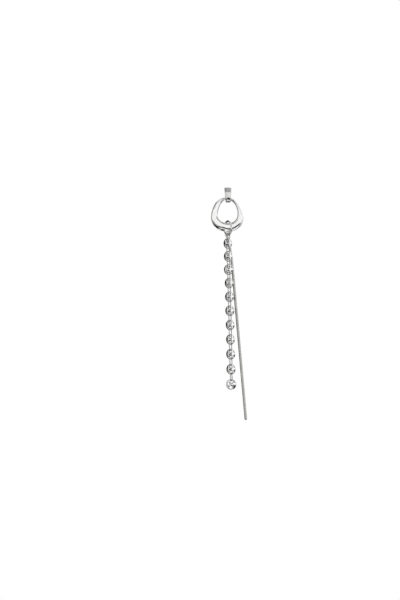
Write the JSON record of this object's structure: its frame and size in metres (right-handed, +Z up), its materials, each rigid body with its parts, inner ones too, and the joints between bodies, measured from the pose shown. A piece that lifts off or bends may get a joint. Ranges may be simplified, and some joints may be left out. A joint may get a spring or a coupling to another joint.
{
  "type": "drop earring with a chain of discs and a snake chain",
  "caption": "Drop earring: a bent stud with an ear post carries an irregular hoop, from which a jump ring hangs a chain of two-hole discs and a longer snake chain.",
  "frame": {"origin": "middle of the ear post where it leaves the flat back of the stud, against the lobe", "axes": "+X to the right as seen from the front, +Y back along the post, +Z up"},
  "size_m": [0.0151, 0.0154, 0.0977],
  "materials": {
    "polished_silver": "bright polished silver, cast and softly hammered",
    "disc_silver": "bright polished silver, pressed discs with rolled edges",
    "link_silver": "polished silver wire",
    "snake_silver": "satin silver, finely ribbed across the chain"
  },
  "bodies": {
    "stud": {"ear_stud": "polished_silver"},
    "drop": {"hoop": "polished_silver", "jump_ring": "link_silver", "chain_cap": "link_silver", "snake_chain": "snake_silver", "disc_01": "disc_silver", "disc_02": "disc_silver", "disc_03": "disc_silver", "disc_04": "disc_silver", "disc_05": "disc_silver", "disc_06": "disc_silver", "disc_07": "disc_silver", "disc_08": "disc_silver", "disc_09": "disc_silver", "disc_10": "disc_silver", "disc_11": "disc_silver", "link_01": "link_silver", "link_02": "link_silver", "link_03": "link_silver", "link_04": "link_silver", "link_05": "link_silver", "link_06": "link_silver", "link_07": "link_silver", "link_08": "link_silver", "link_09": "link_silver", "link_10": "link_silver", "link_11": "link_silver"}
  },
  "joints": [
    {"name": "drop_swing", "type": "hinge", "parent": "stud", "child": "drop", "pos_m": [-0.0002, -0.0021, -0.00363], "axis": [1, 0, 0], "range_deg": [-90, 80]}
  ]
}
